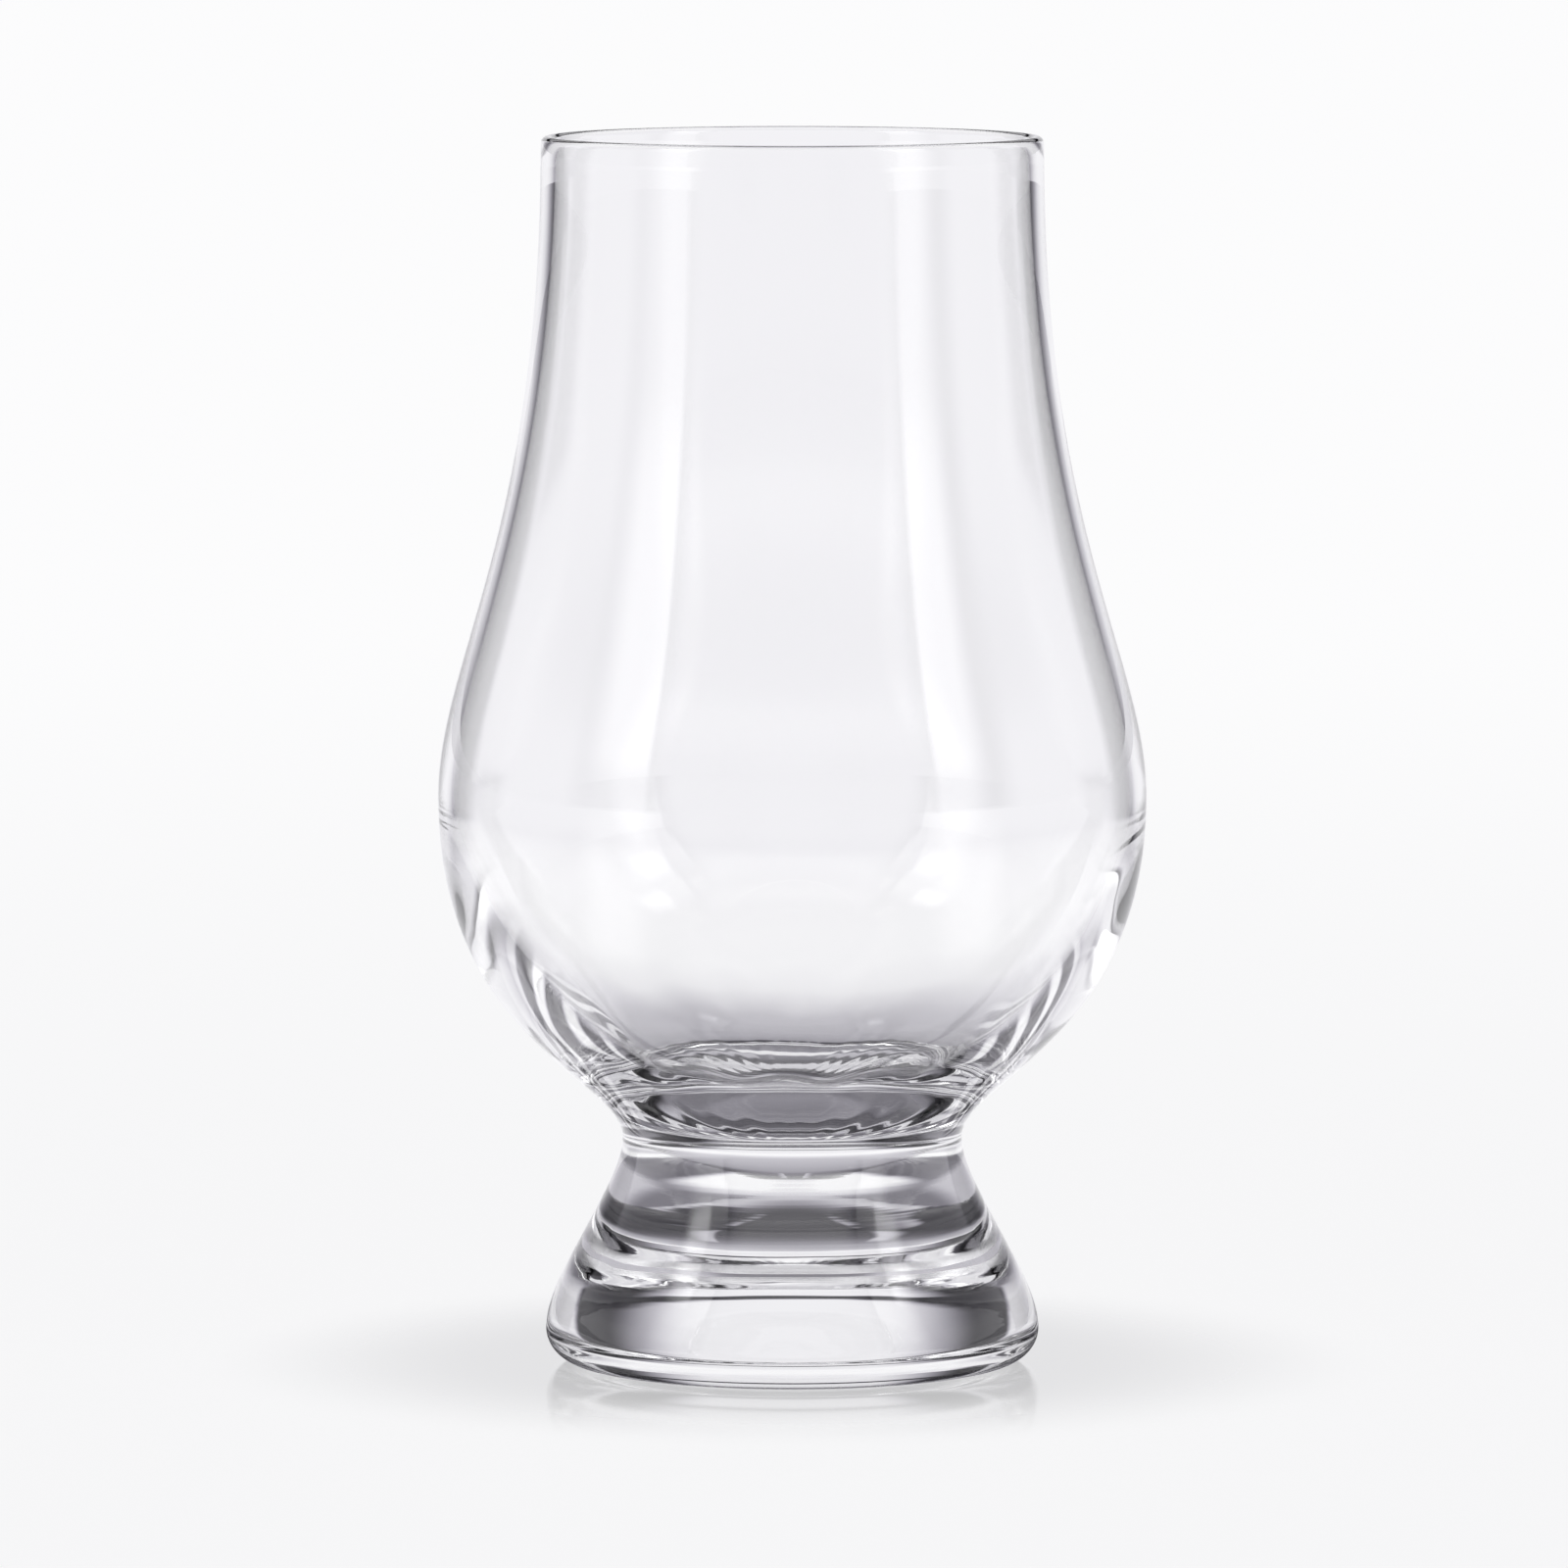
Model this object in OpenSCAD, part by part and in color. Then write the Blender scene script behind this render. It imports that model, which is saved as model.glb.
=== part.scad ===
// Nosing glass for whisky: a tulip bowl with a narrow chimney, on a short neck and a heavy solid foot.
// Lengths are in millimetres and +Z is up. The origin is the centre of the foot, on the table.
// Each piece is one half section, drawn with smooth curves and turned once about Z.
// The two pieces are joined hot at the narrowest part of the neck, where both have the same flat face.

/* [Overall] */
// Height from the table to the top of the lip
total_h = 115; // [110:0.5:125]

/* [Bowl outside] */
// Outer diameter just below the lip
rim_d = 46.9; // [42:0.1:52]
// Outer diameter of the belly at its widest
belly_d = 66.3; // [62:0.1:72]
// Height of the widest part of the belly
belly_z = 53.2; // [50:0.1:57]
// How far the belly stays upright below its widest part, as a share of the height down to the neck
belly_under_share = 0.72; // [0.6:0.01:0.8]
// How far the belly stays upright above its widest part, as a share of the height up to the lip
shoulder_share = 0.21; // [0.1:0.01:0.35]
// How far the chimney stays upright below the lip, as a share of the height down to the belly
chimney_share = 0.6; // [0.45:0.01:0.7]

/* [Bowl inside] */
// Thickness of the wall at the lip
rim_wall = 1.36; // [1:0.02:2]
// Thickness of the wall where it is thinnest, in the chimney
chimney_wall = 1.12; // [0.9:0.02:1.3]
// Thickness of the wall at the widest part of the belly
belly_wall = 1.36; // [1:0.02:2]
// Where the wall is thinnest, as a share of the height from the belly to the lip
thin_share = 0.65; // [0.4:0.01:0.8]
// Thickness of the solid glass between the joint and the lowest point inside the bowl
floor_over_joint = 3.2; // [2.4:0.1:5]
// How far the inside stays upright below the belly, as a share of the depth down to the floor
inner_side_share = 0.4; // [0.3:0.005:0.5]
// How far the inside floor stays level from its centre, as a share of the inner radius
floor_flat_share = 0.65; // [0.55:0.01:0.75]

/* [Neck] */
// Diameter of the narrowest part of the neck
neck_d = 31.9; // [28:0.1:35]
// Height of the narrowest part, where the bowl is joined to the foot
neck_z = 21.1; // [19.5:0.1:22.5]
// How far the neck stays upright above the joint, as a share of the height up to the belly
neck_over_share = 0.18; // [0.12:0.01:0.25]
// How far the neck stays upright below the joint, as a share of the height down to the foot's edge
neck_under_share = 0.25; // [0.15:0.01:0.35]

/* [Foot] */
// Diameter of the foot at its widest
foot_d = 46.3; // [42:0.1:52]
// Height of the widest part of the foot
foot_edge_z = 3.2; // [2.6:0.1:4.5]
// How far the edge stays upright above its widest part, as a share of the height up to the neck
foot_edge_share = 0.27; // [0.15:0.01:0.4]
// How far the rounding under the edge runs in towards the centre
heel_w = 3.5; // [2.5:0.1:4.5]
// Width of the flat ring that the glass stands on
stand_ring_w = 1.2; // [0.6:0.1:2.5]
// Radius of the rounding inside that ring
ring_bead_r = 1; // [0.6:0.1:1.5]
// Height of the hollow under the foot at its centre
hollow_h = 1.6; // [1.1:0.1:3]

/* [Hidden] */
// Sides of each turned piece
$fn = 60;
// Steps in each long curve, in each short curve and in each small rounding
long_steps = 20;
short_steps = 12;
round_steps = 6;
glass = [0.86, 0.89, 0.92, 0.35];

belly_r = belly_d / 2;
neck_r = neck_d / 2;
foot_r = foot_d / 2;
// The lip is a full half round of the wall's own thickness
lip_r = rim_wall / 2;
lip_z = total_h - lip_r;
lip_centre = [rim_d / 2 - lip_r, lip_z];
thin_z = belly_z + thin_share * (lip_z - belly_z);
inner_belly_r = belly_r - belly_wall;
// Height of the lowest point inside the bowl
floor_z = neck_z + floor_over_joint;
// The hollow under the foot is a shallow dome that runs smoothly into the ring's inner rounding
stand_outer_r = foot_r - heel_w;
bead_centre = [stand_outer_r - stand_ring_w, ring_bead_r];
dome_r = (pow(bead_centre.x, 2) + pow(ring_bead_r - hollow_h, 2) - pow(ring_bead_r, 2)) / (2 * hollow_h);
dome_centre = [0, hollow_h - dome_r];
dome_deg = atan2(bead_centre.x, ring_bead_r - dome_centre.y);

// Points of a cubic curve that leaves a towards a_pull and comes to b from b_pull
function curve(a, a_pull, b_pull, b, steps) =
    [for (i = [0 : steps])
        let (t = i / steps, s = 1 - t)
        s * s * s * a + 3 * s * s * t * a_pull + 3 * s * t * t * b_pull + t * t * t * b];

// A sweep from a to b that is upright at both ends, for a share of the height at each
function sweep(a, b, a_share, b_share, steps) =
    curve(a, [a.x, a.y + a_share * (b.y - a.y)], [b.x, b.y - b_share * (b.y - a.y)], b, steps);

// Points of an arc, or of a quarter of an oval when the two half sizes differ
function arc(centre, half, from_deg, to_deg, steps) =
    [for (i = [0 : steps])
        let (d = from_deg + (to_deg - from_deg) * i / steps)
        [centre.x + half.x * cos(d), centre.y + half.y * sin(d)]];

// A list without its first point, which the stretch before it already has
function rest_of(points) = [for (i = [1 : len(points) - 1]) points[i]];

// A list from its last point to its first
function backwards(points) = [for (i = [len(points) - 1 : -1 : 0]) points[i]];

// Passes from one thickness to another with no step at either end, as share goes from 0 to 1
function ease(a, b, share) = a + (b - a) * (1 - cos(180 * share)) / 2;

// Thickness of the bowl's wall at a height between the belly and the lip
function wall_at(z) =
    z < thin_z ? ease(belly_wall, chimney_wall, (z - belly_z) / (thin_z - belly_z))
               : ease(chimney_wall, rim_wall, (z - thin_z) / (lip_z - thin_z));

bowl_under = sweep([neck_r, neck_z], [belly_r, belly_z], neck_over_share, belly_under_share, long_steps);
bowl_over = sweep([belly_r, belly_z], [rim_d / 2, lip_z], shoulder_share, chimney_share, long_steps);
inner_over = [for (p = backwards(bowl_over)) [p.x - wall_at(p.y), p.y]];
inner_under = curve([inner_belly_r, belly_z],
                    [inner_belly_r, belly_z - inner_side_share * (belly_z - floor_z)],
                    [floor_flat_share * inner_belly_r, floor_z],
                    [0, floor_z],
                    long_steps);

// Half section of the bowl: up the outside from the neck, over the lip, down the inside to the floor
bowl_outline = concat(
    [[0, neck_z]],
    bowl_under,
    rest_of(bowl_over),
    rest_of(arc(lip_centre, [lip_r, lip_r], 0, 180, round_steps)),
    rest_of(inner_over),
    rest_of(inner_under));

// Half section of the foot: along the hollow and the ring it stands on, then up the edge to the neck
foot_outline = concat(
    arc(dome_centre, [dome_r, dome_r], 90, 90 - dome_deg, round_steps),
    rest_of(arc(bead_centre, [ring_bead_r, ring_bead_r], 270 - dome_deg, 270, round_steps)),
    arc([stand_outer_r, foot_edge_z], [heel_w, foot_edge_z], 270, 360, short_steps),
    rest_of(sweep([foot_r, foot_edge_z], [neck_r, neck_z], foot_edge_share, neck_under_share, short_steps)),
    [[0, neck_z]]);

// Blown bowl: thin chimney and belly, with a thick base that tapers to the neck
module bowl() {
    color(glass)
        rotate_extrude()
            polygon(bowl_outline);
}

// Pressed foot: solid from the neck down, flared, and slightly hollow underneath
module foot() {
    color(glass)
        rotate_extrude()
            polygon(foot_outline);
}

bowl();
foot();
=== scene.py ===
import math

import bpy
import numpy as np
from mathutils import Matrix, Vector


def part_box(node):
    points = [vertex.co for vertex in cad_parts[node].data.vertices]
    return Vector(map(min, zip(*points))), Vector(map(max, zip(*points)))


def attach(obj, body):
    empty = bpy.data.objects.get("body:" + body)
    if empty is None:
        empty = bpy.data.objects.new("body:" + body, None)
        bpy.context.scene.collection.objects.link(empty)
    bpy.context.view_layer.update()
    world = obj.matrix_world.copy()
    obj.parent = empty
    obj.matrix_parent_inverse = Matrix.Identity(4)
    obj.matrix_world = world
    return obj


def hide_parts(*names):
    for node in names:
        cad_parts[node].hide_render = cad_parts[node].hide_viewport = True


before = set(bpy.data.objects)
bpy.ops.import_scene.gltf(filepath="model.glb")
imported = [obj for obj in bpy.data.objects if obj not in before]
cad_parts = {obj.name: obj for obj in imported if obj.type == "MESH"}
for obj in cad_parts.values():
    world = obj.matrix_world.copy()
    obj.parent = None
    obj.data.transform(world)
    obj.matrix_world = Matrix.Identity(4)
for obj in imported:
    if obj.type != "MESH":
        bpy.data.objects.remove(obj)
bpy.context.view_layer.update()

# One clear nosing glass. Lengths are in metres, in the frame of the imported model, with +Z up.
MM = 0.001

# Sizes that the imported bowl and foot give
bowl_low, bowl_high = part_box("bowl")
foot_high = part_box("foot")[1]
total_h = bowl_high.z
belly_r = bowl_high.x
neck_z = bowl_low.z
foot_r = foot_high.x

# Bowl, outside
rim_r = 23.45 * MM
belly_z = 53.2 * MM
belly_under_share = 0.72
shoulder_share = 0.21
chimney_share = 0.60

# Bowl, inside
rim_wall = 1.36 * MM
chimney_wall = 1.12 * MM
belly_wall = 1.36 * MM
thin_share = 0.65
floor_z = 24.3 * MM
inner_side_share = 0.40
floor_flat_share = 0.65

# Neck
neck_r = 15.95 * MM
neck_over_share = 0.18
neck_under_share = 0.25

# Foot
foot_edge_z = 3.2 * MM
foot_edge_share = 0.27
heel_w = 3.5 * MM
stand_ring_w = 1.2 * MM
ring_bead_r = 1.0 * MM
hollow_h = 1.6 * MM

# Depth of the waves that pressing and blowing leave in the surface
WAVE_FOOT = 0.05 * MM
WAVE_WALL = 0.02 * MM
WAVE_INSIDE = 0.08 * MM
FOLD = 0.016 * MM
DIMPLE = 0.03 * MM

# Their cosines: share of the depth, how many go round, turn in radians, and radians in a metre of height
OUTSIDE_ROWS = ((0.5, 3, 1.1, 0), (0.3, 6, -0.6, 90), (0.2, 11, 2.0, -160))
BASE_ROWS = ((0.5, 4, -0.9, 60), (0.3, 7, 0.4, -120), (0.2, 13, 1.7, 80))
CHIMNEY_ROWS = ((0.6, 5, 0.3, 40), (0.4, 9, -1.2, -70))
FOLD_ROWS = ((1.0, 28, 0.5, 0),)
DIMPLE_ROWS = ((1.0, 14, 0.9, 0),)

# Where they lie, by height or by radius. They grow from the first value to the second, and where there are
# two more they fade from the third to the fourth. BASE_FADE is where the waves inside the lower bowl fade.
LOWER_HEIGHTS = (0.6 * MM, 5 * MM, 38 * MM, 48 * MM)
UPPER_HEIGHTS = (58 * MM, 70 * MM, 95 * MM, 110 * MM)
CHIMNEY_HEIGHTS = (52 * MM, 66 * MM, 95 * MM, 110 * MM)
FOLD_RADII = (2.5 * MM, 6 * MM, 13 * MM, 17 * MM)
DIMPLE_RADII = (14 * MM, 16.5 * MM, 17.5 * MM, 20.5 * MM)
BASE_RADII = (3 * MM, 9 * MM)
BASE_FADE = (40 * MM, 50 * MM)

# Mesh: steps along the outline's curves, and round the glass
STEPS_ROUND = 240
STEPS_LONG = 72
STEPS_NECK = 64
STEPS_INNER = 72
STEPS_SMALL = 10


def curve(a, a_pull, b_pull, b, steps):
    """Points of a cubic curve: s cubed times a, plus 3 s squared t times a_pull, plus 3 s t squared times
    b_pull, plus t cubed times b, with s = 1 - t and t going evenly from 0 to 1."""
    t = np.linspace(0.0, 1.0, steps + 1)[:, None]
    s = 1.0 - t
    a, a_pull, b_pull, b = (np.array(p, float) for p in (a, a_pull, b_pull, b))
    return s**3 * a + 3 * s * s * t * a_pull + 3 * s * t * t * b_pull + t**3 * b


def sweep(a, b, a_share, b_share, steps):
    """The cubic from a to b that is upright at both ends, for a share of the height at each end."""
    climb = b[1] - a[1]
    return curve(a, (a[0], a[1] + a_share * climb), (b[0], b[1] - b_share * climb), b, steps)


def arc(centre, half_r, half_z, from_deg, to_deg, steps):
    """Points of an oval: the centre plus half_r times the cosine of an angle sideways and half_z times its
    sine upwards, with the angle going evenly from one end to the other."""
    d = np.radians(np.linspace(from_deg, to_deg, steps + 1))
    return np.column_stack((centre[0] + half_r * np.cos(d), centre[1] + half_z * np.sin(d)))


def ease(a, b, share):
    """From a to b as share goes from 0 to 1, by half a cosine wave."""
    return a + (b - a) * (1.0 - np.cos(np.pi * np.clip(share, 0.0, 1.0))) / 2.0


def glass_outline():
    """Half section of the whole glass, as radius and height, and the index where the inside begins. It goes
    from the middle underneath up the outside, over the lip and down to the middle of the floor inside,
    along the same curves as the solids."""
    lip_r = rim_wall / 2
    lip_z = total_h - lip_r
    stand_outer_r = foot_r - heel_w
    bead_r = stand_outer_r - stand_ring_w
    dome_r = (bead_r**2 + (ring_bead_r - hollow_h) ** 2 - ring_bead_r**2) / (2 * hollow_h)
    dome_z = hollow_h - dome_r
    dome_deg = math.degrees(math.atan2(bead_r, ring_bead_r - dome_z))
    hollow = arc((0.0, dome_z), dome_r, dome_r, 90, 90 - dome_deg, STEPS_SMALL * 2)
    bead = arc((bead_r, ring_bead_r), ring_bead_r, ring_bead_r, 270 - dome_deg, 270, STEPS_SMALL // 2)
    heel = arc((stand_outer_r, foot_edge_z), heel_w, foot_edge_z, 270, 360, STEPS_SMALL * 2)
    flare = sweep((foot_r, foot_edge_z), (neck_r, neck_z), foot_edge_share, neck_under_share, STEPS_NECK)
    under = sweep((neck_r, neck_z), (belly_r, belly_z), neck_over_share, belly_under_share, STEPS_NECK)
    over = sweep((belly_r, belly_z), (rim_r, lip_z), shoulder_share, chimney_share, STEPS_LONG)
    lip = arc((rim_r - lip_r, lip_z), lip_r, lip_r, 0, 180, STEPS_SMALL)
    thin_z = belly_z + thin_share * (lip_z - belly_z)
    back = over[::-1]
    lower = ease(belly_wall, chimney_wall, (back[:, 1] - belly_z) / (thin_z - belly_z))
    upper = ease(chimney_wall, rim_wall, (back[:, 1] - thin_z) / (lip_z - thin_z))
    inside = back - np.column_stack((np.where(back[:, 1] < thin_z, lower, upper), np.zeros(len(back))))
    inner_r = belly_r - belly_wall
    side_pull = (inner_r, belly_z - inner_side_share * (belly_z - floor_z))
    floor_pull = (floor_flat_share * inner_r, floor_z)
    inner_floor = curve((inner_r, belly_z), side_pull, floor_pull, (0.0, floor_z), STEPS_INNER)
    outer = np.vstack([hollow, bead[1:], heel, flare[1:], under[1:], over[1:], lip[1:]])
    return np.vstack([outer, inside[1:], inner_floor[1:]]), len(outer)


def step_up(value, low, high):
    """Three t squared less two t cubed, with t going from 0 at low to 1 at high."""
    t = np.clip((value - low) / (high - low), 0.0, 1.0)
    return t * t * (3.0 - 2.0 * t)


def within(value, span):
    """1 between the two middle values of a span, going smoothly to 0 at its first and its last."""
    return step_up(value, *span[:2]) * (1.0 - step_up(value, *span[2:]))


def cosines(rows, a, z):
    """Sum over the rows of the share times the cosine of the count times the angle, plus the turn, plus the
    slope times the height."""
    return sum(share * np.cos(count * a + turn + slope * z) for share, count, turn, slope in rows)


def outside_waves(a, z):
    """How far the outside lies below the ideal form, in metres: half the depth, times one plus
    OUTSIDE_ROWS. The depth is WAVE_FOOT from the foot to the lower bowl and WAVE_WALL in the chimney. It is
    nothing at the ring under the foot, at the widest belly and at the lip."""
    depth = WAVE_FOOT * within(z, LOWER_HEIGHTS) + WAVE_WALL * within(z, UPPER_HEIGHTS)
    return 0.5 * depth * (1.0 + cosines(OUTSIDE_ROWS, a, z))


def inside_waves(a, r, z):
    """How far the inside lies from the ideal form, in metres: WAVE_INSIDE times BASE_ROWS in the lower
    bowl, plus FOLD times the folds on its floor, plus DIMPLE times the dimples where they end, plus half of
    WAVE_WALL times CHIMNEY_ROWS above the belly. It is nothing at the middle of the floor and at the
    lip."""
    base = cosines(BASE_ROWS, a, z) * step_up(r, *BASE_RADII) * (1.0 - step_up(z, *BASE_FADE))
    folds = cosines(FOLD_ROWS, a, z) * within(r, FOLD_RADII)
    dimples = cosines(DIMPLE_ROWS, a, z) * within(r, DIMPLE_RADII)
    chimney = cosines(CHIMNEY_ROWS, a, z) * within(z, CHIMNEY_HEIGHTS)
    return WAVE_INSIDE * base + FOLD * folds + DIMPLE * dimples + 0.5 * WAVE_WALL * chimney


def turned(name, outline, inside_from):
    """Turns an outline once about Z: each of its points goes round in a circle of its own radius at its own
    height, after the waves have moved it into the glass, square to the outline. There is one vertex at each
    pole."""
    along = np.gradient(outline, axis=0)
    along /= np.linalg.norm(along, axis=1)[:, None]
    rings = outline[1:-1]
    into = np.column_stack((-along[1:-1, 1], along[1:-1, 0]))
    a = np.linspace(0.0, 2 * np.pi, STEPS_ROUND, endpoint=False)
    r = np.repeat(rings[:, :1], STEPS_ROUND, axis=1)
    z = np.repeat(rings[:, 1:], STEPS_ROUND, axis=1)
    inner = (np.arange(len(rings)) + 1 >= inside_from)[:, None]
    waves = np.where(inner, inside_waves(a, r, z), outside_waves(a, z))
    r = r + waves * into[:, :1]
    z = z + waves * into[:, 1:]
    grid = np.stack((r * np.cos(a), r * np.sin(a), z), axis=-1).reshape(-1, 3)
    verts = np.vstack((grid, [[0, 0, outline[0, 1]], [0, 0, outline[-1, 1]]]))
    index = np.arange(len(grid)).reshape(len(rings), STEPS_ROUND)
    turn = np.roll(index, -1, axis=1)
    quads = np.stack((index[:-1], turn[:-1], turn[1:], index[1:]), axis=-1).reshape(-1, 4)
    low, high = len(grid), len(grid) + 1
    fan_low = np.column_stack((np.full(STEPS_ROUND, low), turn[0], index[0]))
    fan_high = np.column_stack((np.full(STEPS_ROUND, high), index[-1], turn[-1]))
    mesh = bpy.data.meshes.new(name)
    mesh.from_pydata(verts.tolist(), [], quads.tolist() + fan_low.tolist() + fan_high.tolist())
    mesh.polygons.foreach_set("use_smooth", np.ones(len(mesh.polygons), bool))
    mesh.validate()
    mesh.update()
    piece = bpy.data.objects.new(name, mesh)
    bpy.context.scene.collection.objects.link(piece)
    return piece


def maths(tree, operation, first, second=0.0):
    """One Math node. Each input is a number or another node's output."""
    step = tree.nodes.new("ShaderNodeMath")
    step.operation = operation
    for socket, value in zip(step.inputs, (first, second)):
        if isinstance(value, (int, float)):
            socket.default_value = value
        else:
            tree.links.new(value, socket)
    return step.outputs[0]


def rise(tree, value, low, high):
    """Goes smoothly from 0 at low to 1 at high."""
    step = tree.nodes.new("ShaderNodeMapRange")
    step.interpolation_type = "SMOOTHSTEP"
    tree.links.new(value, step.inputs["Value"])
    step.inputs["From Min"].default_value = low
    step.inputs["From Max"].default_value = high
    return step.outputs["Result"]


def fall(tree, value, low, high):
    """Goes smoothly from 1 at low to 0 at high."""
    return maths(tree, "SUBTRACT", 1.0, rise(tree, value, low, high))


def between(tree, value, low, low_edge, high, high_edge):
    """1 between low and high, and 0 outside, with edges that are soft for as far as given on each side."""
    return maths(tree, "MULTIPLY", rise(tree, value, low - low_edge, low + low_edge),
                 fall(tree, value, high - high_edge, high + high_edge))


def around_axis(tree, x, y):
    """Angle in degrees round the glass, from 0 straight behind it, clockwise from above."""
    return maths(tree, "MULTIPLY", maths(tree, "ARCTAN2", x, y), 180.0 / math.pi)


def noise(tree, place, stretch, scale, detail):
    """Smooth noise about 0, from -0.5 to 0.5, on coordinates stretched by three factors."""
    stretched = tree.nodes.new("ShaderNodeVectorMath")
    stretched.operation = "MULTIPLY"
    tree.links.new(place, stretched.inputs[0])
    stretched.inputs[1].default_value = stretch
    texture = tree.nodes.new("ShaderNodeTexNoise")
    tree.links.new(stretched.outputs[0], texture.inputs["Vector"])
    texture.inputs["Scale"].default_value = scale
    texture.inputs["Detail"].default_value = detail
    return maths(tree, "SUBTRACT", texture.outputs[0], 0.5)


def lit(tree, light, share, brightness):
    """The light plus a brightness times a share, which goes from 0 to 1."""
    return maths(tree, "ADD", light, maths(tree, "MULTIPLY", share, brightness))


def turned_to(tree, light, share, other):
    """Goes from the light to another brightness as share goes from 0 to 1."""
    return lit(tree, light, share, maths(tree, "SUBTRACT", other, light))


# Crystal: how strongly it bends light, and the colour of its shadow
CRYSTAL_IOR = 1.56
GLASS_SHADOW = (0.93, 0.93, 0.94, 1.0)

# Fine relief of the crystal. A noise has its stretch along X, Y and Z, its features to a metre and its
# detail. A depth is in metres. Heights are where a relief begins and ends, each followed by how soft that
# edge is.
SWIRL_NOISE = ((1.0, 1.0, 1.8), 80.0, 0.5)
SWIRL_DEPTH = 0.14 * MM
SWIRL_HEIGHTS = (20 * MM, 3 * MM, 35 * MM, 4 * MM)
UNEVEN_NOISE = ((1.0, 1.0, 0.6), 60.0, 1.0)
UNEVEN_DEPTH = 0.02 * MM
STREAK_NOISE = ((0.4, 0.4, 8.0), 80.0, 2.0)
STREAK_DEPTH = 0.012 * MM
STREAK_HEIGHTS = (2 * MM, 1 * MM, 20 * MM, 4 * MM)

# Roughness of the wipe marks and of the ring that it stands on, and where each begins and is full
WIPE_NOISE = ((1.0, 1.0, 0.3), 160.0, 4.0)
WIPE_LEVELS = (0.02, 0.3)
WIPE_DULL = 0.03
WORN_HEIGHTS = (0.15 * MM, 0.4 * MM)
WORN_DULL = 0.22


def crystal_relief(tree, place, height):
    """Relief in metres: swirls in the thick glass of the neck, plus slow unevenness all over, plus level
    streaks on the foot. Each is its noise times its depth, between its heights."""
    swirl = maths(tree, "MULTIPLY", noise(tree, place, *SWIRL_NOISE),
                  maths(tree, "MULTIPLY", between(tree, height, *SWIRL_HEIGHTS), SWIRL_DEPTH))
    uneven = maths(tree, "MULTIPLY", noise(tree, place, *UNEVEN_NOISE), UNEVEN_DEPTH)
    streaks = maths(tree, "MULTIPLY", noise(tree, place, *STREAK_NOISE),
                    maths(tree, "MULTIPLY", between(tree, height, *STREAK_HEIGHTS), STREAK_DEPTH))
    return maths(tree, "ADD", maths(tree, "ADD", swirl, uneven), streaks)


def clear_crystal():
    """Clear polished crystal with a fine relief. The ring that it stands on is worn matt, and faint wipe
    marks dull the rest a little."""
    material = bpy.data.materials.new("clear_crystal")
    material.use_nodes = True
    tree = material.node_tree
    shader = tree.nodes["Principled BSDF"]
    shader.inputs["Base Color"].default_value = (1.0, 1.0, 1.0, 1.0)
    shader.inputs["IOR"].default_value = CRYSTAL_IOR
    shader.inputs["Transmission Weight"].default_value = 1.0
    place = tree.nodes.new("ShaderNodeTexCoord").outputs["Object"]
    split = tree.nodes.new("ShaderNodeSeparateXYZ")
    tree.links.new(place, split.inputs[0])
    height = split.outputs[2]
    bump = tree.nodes.new("ShaderNodeBump")
    bump.inputs["Strength"].default_value = 1.0
    bump.inputs["Distance"].default_value = 1.0
    tree.links.new(crystal_relief(tree, place, height), bump.inputs["Height"])
    tree.links.new(bump.outputs[0], shader.inputs["Normal"])
    wiped = rise(tree, noise(tree, place, *WIPE_NOISE), *WIPE_LEVELS)
    worn = fall(tree, height, *WORN_HEIGHTS)
    dull = lit(tree, maths(tree, "MULTIPLY", wiped, WIPE_DULL), worn, WORN_DULL)
    tree.links.new(dull, shader.inputs["Roughness"])
    # Its shadow is light, because glass lets the lamps through
    light_path = tree.nodes.new("ShaderNodeLightPath")
    clear = tree.nodes.new("ShaderNodeBsdfTransparent")
    clear.inputs["Color"].default_value = GLASS_SHADOW
    mix = tree.nodes.new("ShaderNodeMixShader")
    tree.links.new(light_path.outputs["Is Shadow Ray"], mix.inputs[0])
    tree.links.new(shader.outputs[0], mix.inputs[1])
    tree.links.new(clear.outputs[0], mix.inputs[2])
    tree.links.new(mix.outputs[0], tree.nodes["Material Output"].inputs["Surface"])
    return material


# Colours of brightness 0 and 1, before they are multiplied by the brightness itself
GREY_TINT = (1.0, 0.955, 1.12, 1.0)
WHITE_TINT = (1.0, 1.0, 1.01, 1.0)


def tinted(tree, level):
    """Turns a brightness into a colour: greys lean to lavender, and white stays white."""
    tint = tree.nodes.new("ShaderNodeMix")
    tint.data_type = "RGBA"
    tree.links.new(maths(tree, "MINIMUM", level, 1.0), tint.inputs[0])
    tint.inputs[6].default_value = GREY_TINT
    tint.inputs[7].default_value = WHITE_TINT
    colour = tree.nodes.new("ShaderNodeVectorMath")
    colour.operation = "SCALE"
    tree.links.new(tint.outputs[2], colour.inputs[0])
    tree.links.new(level, colour.inputs["Scale"])
    return colour.outputs[0]


# Floor: half its side in metres, its colour near the glass and far off as the camera sees it, and the
# distances between which that colour changes. The darker colour near the glass is painted shade.
FLOOR_HALF = 6.0
FLOOR_NEAR_SHADED = (0.888, 0.888, 0.895104, 1.0)
FLOOR_FAR = (0.935, 0.935, 0.93874, 1.0)
FLOOR_CHANGE = (100 * MM, 900 * MM)

# How much light and shadow it takes on top of that, and the distances over which that matt colour rises from
# black; the black under and near the foot is painted shade. Then its gloss, which mirrors the foot and fades
# with distance.
FLOOR_MATT = 0.10
MATT_SHADED_NEAR = (18 * MM, 60 * MM)
GLOSS_ROUGHNESS = 0.11
GLOSS_IOR = 1.45
MIRROR_SHARE = 0.95
MIRROR_FADES = (26 * MM, 56 * MM)

# Limits where a place or a panel has no edge: before the first azimuth or under the horizon, past the last
# azimuth, and past the floor's corners
START = -30
ALL_ROUND = 200
FLOOR_END = 9000
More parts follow.
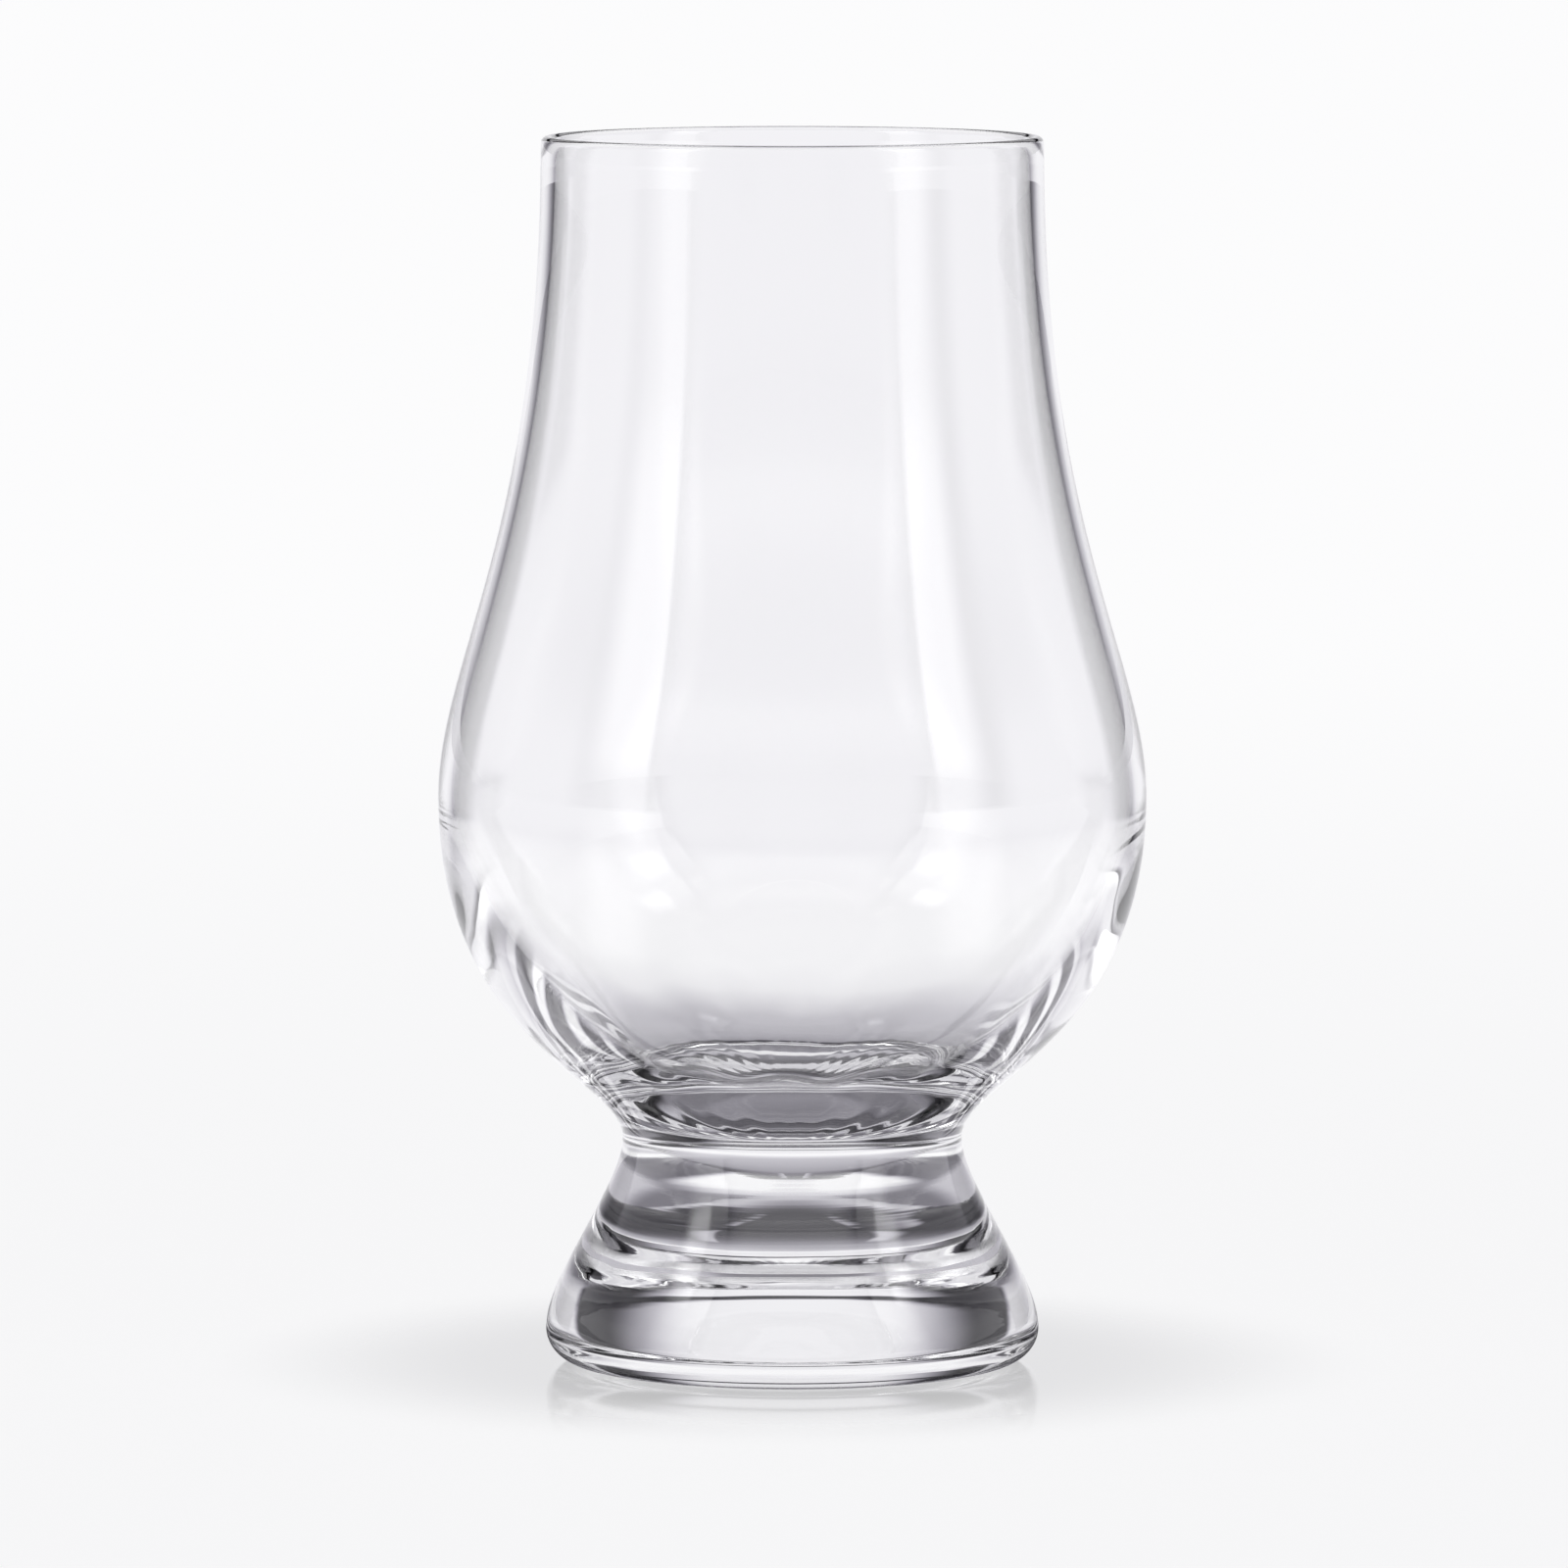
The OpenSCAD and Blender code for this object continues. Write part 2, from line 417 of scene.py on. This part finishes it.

# The floor as rays from the glass see it: distance from the middle in millimetres, and brightness there.
# These brightnesses are painted light and shade: a painted shadow that is darkest just round the foot and dim
# under it, growing brighter outwards.
# Neither these levels nor the places below and the panels of light are measured from real surroundings. They
# started from a least-squares fit of patches of brightness to the photograph's grey levels, were simplified
# to these rows, and were then changed many times, for its angle. The camera doesn't see the pattern on the
# floor.
FLOOR_PAINTED_TONES = (
    (0, 0.20), (11.5, 0.28), (13.2, 0.18), (16.4, 0.16), (18.2, 0.24), (20.4, 0.18), (22, 0.03), (30.1, 0.04),
    (31.5, 0.12), (34, 0.38), (40, 0.46), (48, 0.50), (60, 0.54), (70, 0.62), (80, 0.75), (95, 0.925),
    (120, 0.98), (150, 0.96), (200, 0.905), (240, 0.85), (290, 0.86), (380, 0.87),
)

# Places of painted light and shade on that floor, alike on both sides: painted light at the sides, painted
# ripples of light and shade, a painted caustic ring under the foot, painted light at the foot's rim, painted
# reflections of the softboxes, and painted shade in place of dark boards, beside the foot and in front. A row
# gives where the place begins and ends in degrees from straight behind, and then in millimetres from the
# middle, each followed by how soft that edge is.
PAINTED_LIGHT_SIDES = (60, 6, 118, 10, 46, 10, FLOOR_END, 1)
PAINTED_RIPPLES = (27, 5, 60, 5, 37, 3, 70, 6)
PAINTED_CAUSTIC_RING = (START, 1, 10, 2, 13, 1, 17.2, 0.8)
PAINTED_RIM_LIGHT = (7.5, 2.5, 55, 15, 18, 0.5, 21, 0.5)
PAINTED_BOX_REFLECTIONS = (113, 6, 133, 4, 67.5, 22.5, FLOOR_END, 1)
PAINTED_BOARD_SHADE = (34, 6, 55, 7, 290, 50, FLOOR_END, 1)
PAINTED_SHADOW_BESIDE = (33, 9, ALL_ROUND, 1, 21, 1, 36, 4)
PAINTED_SHADE_FRONT = (130, 20, ALL_ROUND, 1, 120, 40, FLOOR_END, 1)

# Brightness of the painted light at the sides, and of the troughs of the painted ripples, where the crests
# are at 1
PAINTED_SIDE_TONE = 0.85
RIPPLE_DARK = 0.07
# Distance from one crest to the next, and the values of a cosine at which a crest begins and is full
RIPPLE_PITCH = 10 * MM
RIPPLE_LEVELS = (-0.1, 0.8)
# Painted light that the caustic ring under the foot and the foot's rim add, and what the painted reflections
# of the softboxes add
CAUSTIC_RING_TONE = 0.80
RIM_LIGHT_TONE = 0.35
BOX_REFLECTION_TONE = 0.7
# Share of its light that each place of painted shade loses
BOARD_SHADE_LOSS = 0.9
BESIDE_SHADOW_LOSS = 0.85
FRONT_SHADE_LOSS = 0.14

# Two lines of painted light straight behind the foot, and a painted spot of light between them. The lines are
# closest at a waist. From there each moves aside by a share of the way, one share towards the glass and
# another away from it.
WAIST = 29.8 * MM
WAIST_HALF = 0.3 * MM
SPREAD_NEAR = 0.45
SPREAD_FAR = 0.13
# Sideways from there: where a line begins and is full, where it starts to fade and is gone, and where the
# spot fades. A reach is measured from the middle of the glass, and each limit is followed by how soft it is.
LINE_INNER = (-0.04 * MM, 0.04 * MM)
LINE_OUTER = (0.05 * MM, 0.45 * MM)
LINE_REACH = (29.75 * MM, 0.15 * MM, 32.5 * MM, 0.8 * MM)
PAINTED_LINE_LIGHT = 0.38
SPOT_EDGE = (-0.10 * MM, 0.12 * MM)
SPOT_REACH = (25.3 * MM, 1 * MM, 28.8 * MM, 1 * MM)
PAINTED_SPOT_LIGHT = 0.62


def patch(tree, around, out, place):
    """1 in a place on the floor and 0 outside it, with its soft edges."""
    left, left_edge, right, right_edge, near, near_edge, far, far_edge = place
    sideways = between(tree, around, left, left_edge, right, right_edge)
    outward = between(tree, out, near * MM, near_edge * MM, far * MM, far_edge * MM)
    return maths(tree, "MULTIPLY", sideways, outward)


def painted_tone_by_distance(tree, out):
    """Painted light and shade by distance from the middle, straight from one row of the floor's tones to the
    next.
    """
    ramp = tree.nodes.new("ShaderNodeValToRGB")
    reach = FLOOR_PAINTED_TONES[-1][0]
    tree.links.new(maths(tree, "DIVIDE", out, reach * MM), ramp.inputs[0])
    stops = ramp.color_ramp.elements
    stops[0].position = 0.0
    stops[1].position = 1.0
    for distance, _ in FLOOR_PAINTED_TONES[1:-1]:
        stops.new(distance / reach)
    brightest = max(tone for _, tone in FLOOR_PAINTED_TONES)
    for stop, (_, tone) in zip(stops, FLOOR_PAINTED_TONES):
        stop.color = (tone / brightest, tone / brightest, tone / brightest, 1.0)
    return maths(tree, "MULTIPLY", ramp.outputs[0], brightest)


def painted_lines_and_spot(tree, across, behind):
    """The two lines of painted light, and the painted spot of light between them. The foot magnifies these
    few millimetres of floor and shows the lines as upright stripes."""
    near = maths(tree, "MAXIMUM", maths(tree, "SUBTRACT", WAIST, behind), 0.0)
    far = maths(tree, "MAXIMUM", maths(tree, "SUBTRACT", behind, WAIST), 0.0)
    aside = lit(tree, maths(tree, "MULTIPLY", near, SPREAD_NEAR), far, SPREAD_FAR)
    past = maths(tree, "SUBTRACT", maths(tree, "ABSOLUTE", across), maths(tree, "ADD", aside, WAIST_HALF))
    lines = maths(tree, "MULTIPLY", rise(tree, past, *LINE_INNER), fall(tree, past, *LINE_OUTER))
    lines = maths(tree, "MULTIPLY", lines, between(tree, behind, *LINE_REACH))
    spot = maths(tree, "MULTIPLY", fall(tree, past, *SPOT_EDGE), between(tree, behind, *SPOT_REACH))
    return lines, spot


def painted_floor_in_glass(tree, across, behind, out):
    """Brightness of the floor for rays that come through or off the glass, all of it painted light and shade:
    the tone by distance, then the painted light at the sides and the painted ripples in its place, plus the
    painted caustic ring, the rim light, the spot, the lines and the painted reflections of the softboxes, and
    all of it times what the places of painted shade leave."""
    around = maths(tree, "ABSOLUTE", around_axis(tree, across, behind))
    tone = painted_tone_by_distance(tree, out)
    tone = turned_to(tree, tone, patch(tree, around, out, PAINTED_LIGHT_SIDES), PAINTED_SIDE_TONE)
    wave = maths(tree, "COSINE", maths(tree, "MULTIPLY", out, 2 * math.pi / RIPPLE_PITCH))
    crests = rise(tree, wave, *RIPPLE_LEVELS)
    ripples = maths(tree, "ADD", maths(tree, "MULTIPLY", crests, 1.0 - RIPPLE_DARK), RIPPLE_DARK)
    tone = turned_to(tree, tone, patch(tree, around, out, PAINTED_RIPPLES), ripples)
    tone = lit(tree, tone, patch(tree, around, out, PAINTED_CAUSTIC_RING), CAUSTIC_RING_TONE)
    tone = lit(tree, tone, patch(tree, around, out, PAINTED_RIM_LIGHT), RIM_LIGHT_TONE)
    lines, spot = painted_lines_and_spot(tree, across, behind)
    tone = lit(tree, tone, spot, PAINTED_SPOT_LIGHT)
    tone = lit(tree, tone, lines, PAINTED_LINE_LIGHT)
    tone = lit(tree, tone, patch(tree, around, out, PAINTED_BOX_REFLECTIONS), BOX_REFLECTION_TONE)
    loss = maths(tree, "MULTIPLY", patch(tree, around, out, PAINTED_BOARD_SHADE), BOARD_SHADE_LOSS)
    loss = lit(tree, loss, patch(tree, around, out, PAINTED_SHADOW_BESIDE), BESIDE_SHADOW_LOSS)
    loss = lit(tree, loss, patch(tree, around, out, PAINTED_SHADE_FRONT), FRONT_SHADE_LOSS)
    return maths(tree, "MULTIPLY", maths(tree, "SUBTRACT", 1.0, loss), tone)


def pale_floor():
    """White glossy sheet. The camera sees it pale, with painted shade that makes it a little darker towards
    the glass, a faint shadow of the glass and, close to the foot, a soft mirror image of it. Its matt colour
    is black under and near the foot, as painted shade. Rays that come through or off the glass see instead
    the painted light and shade of the function above. No real floor does that, and no light in the scene
    makes it: the comment above the floor's tones says where it comes from."""
    material = bpy.data.materials.new("pale_floor")
    material.use_nodes = True
    tree = material.node_tree
    tree.nodes.clear()
    place = tree.nodes.new("ShaderNodeTexCoord")
    length = tree.nodes.new("ShaderNodeVectorMath")
    length.operation = "LENGTH"
    tree.links.new(place.outputs["Object"], length.inputs[0])
    out = length.outputs["Value"]
    split = tree.nodes.new("ShaderNodeSeparateXYZ")
    tree.links.new(place.outputs["Object"], split.inputs[0])
    light_path = tree.nodes.new("ShaderNodeLightPath")
    by_camera = light_path.outputs["Is Camera Ray"]
    from_glass = maths(tree, "ADD", light_path.outputs["Is Glossy Ray"],
                       light_path.outputs["Is Transmission Ray"])
    from_glass = maths(tree, "MINIMUM", from_glass, 1.0)
    # Painted light and shade, which only rays that come through or off the glass see
    in_glass = painted_floor_in_glass(tree, split.outputs[0], split.outputs[1], out)
    # The colour that the camera sees, darker near the glass as painted shade
    plain = tree.nodes.new("ShaderNodeMix")
    plain.data_type = "RGBA"
    tree.links.new(rise(tree, out, *FLOOR_CHANGE), plain.inputs[0])
    plain.inputs[6].default_value = FLOOR_NEAR_SHADED
    plain.inputs[7].default_value = FLOOR_FAR
    choose = tree.nodes.new("ShaderNodeMix")
    choose.data_type = "RGBA"
    tree.links.new(by_camera, choose.inputs[0])
    tree.links.new(tinted(tree, maths(tree, "MULTIPLY", from_glass, in_glass)), choose.inputs[6])
    tree.links.new(plain.outputs[2], choose.inputs[7])
    white = tree.nodes.new("ShaderNodeEmission")
    tree.links.new(choose.outputs[2], white.inputs["Color"])
    matt = tree.nodes.new("ShaderNodeBsdfDiffuse")
    # Painted shade: the matt colour is black under and near the foot and rises further out
    tree.links.new(maths(tree, "MULTIPLY", rise(tree, out, *MATT_SHADED_NEAR), FLOOR_MATT), matt.inputs["Color"])
    body = tree.nodes.new("ShaderNodeAddShader")
    tree.links.new(white.outputs[0], body.inputs[0])
    tree.links.new(matt.outputs[0], body.inputs[1])
    gloss = tree.nodes.new("ShaderNodeBsdfAnisotropic")
    gloss.inputs["Roughness"].default_value = GLOSS_ROUGHNESS
    fresnel = tree.nodes.new("ShaderNodeFresnel")
    fresnel.inputs["IOR"].default_value = GLOSS_IOR
    mirror = maths(tree, "MULTIPLY", fall(tree, out, *MIRROR_FADES), MIRROR_SHARE)
    mirror = maths(tree, "MULTIPLY", mirror, by_camera)
    mix = tree.nodes.new("ShaderNodeMixShader")
    tree.links.new(maths(tree, "MULTIPLY", fresnel.outputs[0], mirror), mix.inputs[0])
    tree.links.new(body.outputs[0], mix.inputs[1])
    tree.links.new(gloss.outputs[0], mix.inputs[2])
    surface = tree.nodes.new("ShaderNodeOutputMaterial")
    tree.links.new(mix.outputs[0], surface.inputs["Surface"])
    return material


# Panels of light round the glass, as seen from it. Azimuth is from straight behind, in degrees. Each row
# gives where the panel begins and ends sideways and in height, each followed by how soft that edge is, and
# then its brightness, where 1 is white. The first list lies on both sides alike. The second is the two tall
# softboxes beside the camera, whose tops are brighter than white. Both come from the same fit and changes as
# the floor's levels.
PANELS = (
    (START, 1, 25, 12, START, 1, 9.8, 0.7, 0.85),
    (START, 1, 24, 8, 13.5, 1.0, 36, 5, 0.85),
    (START, 1, 26, 8, 36, 5, 56, 5, 0.07),
    (51, 2, 104, 6, START, 1, 18, 6, 0.78),
    (52, 4, 104, 8, 18, 6, 48, 8, 0.20),
    (136, 4, ALL_ROUND, 1, START, 1, 56, 7, 0.55),
    (136, 4, ALL_ROUND, 1, START, 1, 14, 8, 0.20),
    (138, 6, ALL_ROUND, 1, 16, 5, 37, 5, 0.30),
    (141, 8, ALL_ROUND, 1, 41, 5, 50, 5, 0.60),
)
SOFTBOXES = (
    (114, 5, 131, 0.8, START, 1, 30, 5, 0.80),
    (114, 5, 131, 0.8, 11, 4, 30, 5, 0.70),
    (113, 5, 133, 1.0, 29, 6, 42, 7, 1.7),
    (106, 4, 120, 2.0, 36, 4, 43, 4, 3.4),
    (-131, 0.8, -109, 7, START, 1, 30, 5, 0.80),
    (-131, 0.8, -109, 7, 11, 4, 30, 5, 0.70),
    (-133, 1.0, -108, 8, 29, 6, 42, 7, 1.7),
    (-120, 2.0, -106, 4, 36, 4, 43, 4, 3.4),
)

# Brightness of the room between the panels, what it gains overhead, and the elevations between which it
# gains it
ROOM = 0.02
OVERHEAD = 0.12
OVERHEAD_ELEVATIONS = (55, 75)
# The backdrop that the camera sees, and the side of the map by which the renderer finds the panels
BACKDROP = (0.98, 0.98, 0.985, 1.0)
LIGHT_MAP_SIDE = 1024


def panels_seen(tree, around, height, panels, light):
    """Adds each panel's brightness where the direction lies between its edges."""
    for left, left_edge, right, right_edge, low, low_edge, high, high_edge, brightness in panels:
        wide = between(tree, around, left, left_edge, right, right_edge)
        tall = between(tree, height, low, low_edge, high, high_edge)
        light = lit(tree, light, maths(tree, "MULTIPLY", wide, tall), brightness)
    return light


def studio():
    """Dark room with soft panels of light, which light the glass and show in it. The camera sees a plain
    white backdrop instead."""
    world = bpy.data.worlds.new("studio")
    bpy.context.scene.world = world
    world.use_nodes = True
    tree = world.node_tree
    background = tree.nodes["Background"]
    place = tree.nodes.new("ShaderNodeTexCoord")
    split = tree.nodes.new("ShaderNodeSeparateXYZ")
    tree.links.new(place.outputs["Generated"], split.inputs[0])
    around = around_axis(tree, split.outputs[0], split.outputs[1])
    height = maths(tree, "MULTIPLY", maths(tree, "ARCSINE", split.outputs[2]), 180.0 / math.pi)
    light = maths(tree, "MULTIPLY", rise(tree, height, *OVERHEAD_ELEVATIONS), OVERHEAD)
    light = maths(tree, "ADD", light, ROOM)
    light = panels_seen(tree, maths(tree, "ABSOLUTE", around), height, PANELS, light)
    light = panels_seen(tree, around, height, SOFTBOXES, light)
    light_path = tree.nodes.new("ShaderNodeLightPath")
    choose = tree.nodes.new("ShaderNodeMix")
    choose.data_type = "RGBA"
    tree.links.new(light_path.outputs["Is Camera Ray"], choose.inputs[0])
    tree.links.new(tinted(tree, light), choose.inputs[6])
    choose.inputs[7].default_value = BACKDROP
    tree.links.new(choose.outputs[2], background.inputs["Color"])
    world.cycles.sampling_method = "MANUAL"
    world.cycles.sample_map_resolution = LIGHT_MAP_SIDE


# Glass
half_section, inside_from = glass_outline()
glass = turned("glass", half_section, inside_from)
glass.data.materials.append(clear_crystal())
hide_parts("bowl", "foot")
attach(glass, "root")

# Floor
corners = [(x * FLOOR_HALF, y * FLOOR_HALF, 0) for x, y in ((-1, -1), (1, -1), (1, 1), (-1, 1))]
floor_mesh = bpy.data.meshes.new("floor")
floor_mesh.from_pydata(corners, [], [(0, 1, 2, 3)])
floor = bpy.data.objects.new("floor", floor_mesh)
bpy.context.scene.collection.objects.link(floor)
floor_mesh.materials.append(pale_floor())

# World
studio()

# Camera: the photograph's height and distance, in metres, and how far it looks down, in radians
CAMERA_PLACE = (-0.78 * MM, -1160 * MM, 162.3 * MM)
CAMERA_DOWN = 0.0928
LENS_MM = 285.7
SENSOR_MM = 36.0
CAMERA_REACH = 50.0
camera_data = bpy.data.cameras.new("camera")
camera_data.sensor_width = SENSOR_MM
camera_data.lens = LENS_MM
camera_data.clip_end = CAMERA_REACH
camera = bpy.data.objects.new("camera", camera_data)
camera.location = CAMERA_PLACE
camera.rotation_euler = (math.pi / 2 - CAMERA_DOWN, 0.0, 0.0)
bpy.context.scene.collection.objects.link(camera)
bpy.context.scene.camera = camera

# A ray is followed through the glass for up to this many surfaces, and off it for up to this many
# reflections
THROUGH_GLASS = 64
OFF_GLASS = 32
bpy.context.scene.view_settings.view_transform = "Standard"
bpy.context.scene.cycles.max_bounces = THROUGH_GLASS
bpy.context.scene.cycles.transmission_bounces = THROUGH_GLASS
bpy.context.scene.cycles.glossy_bounces = OFF_GLASS
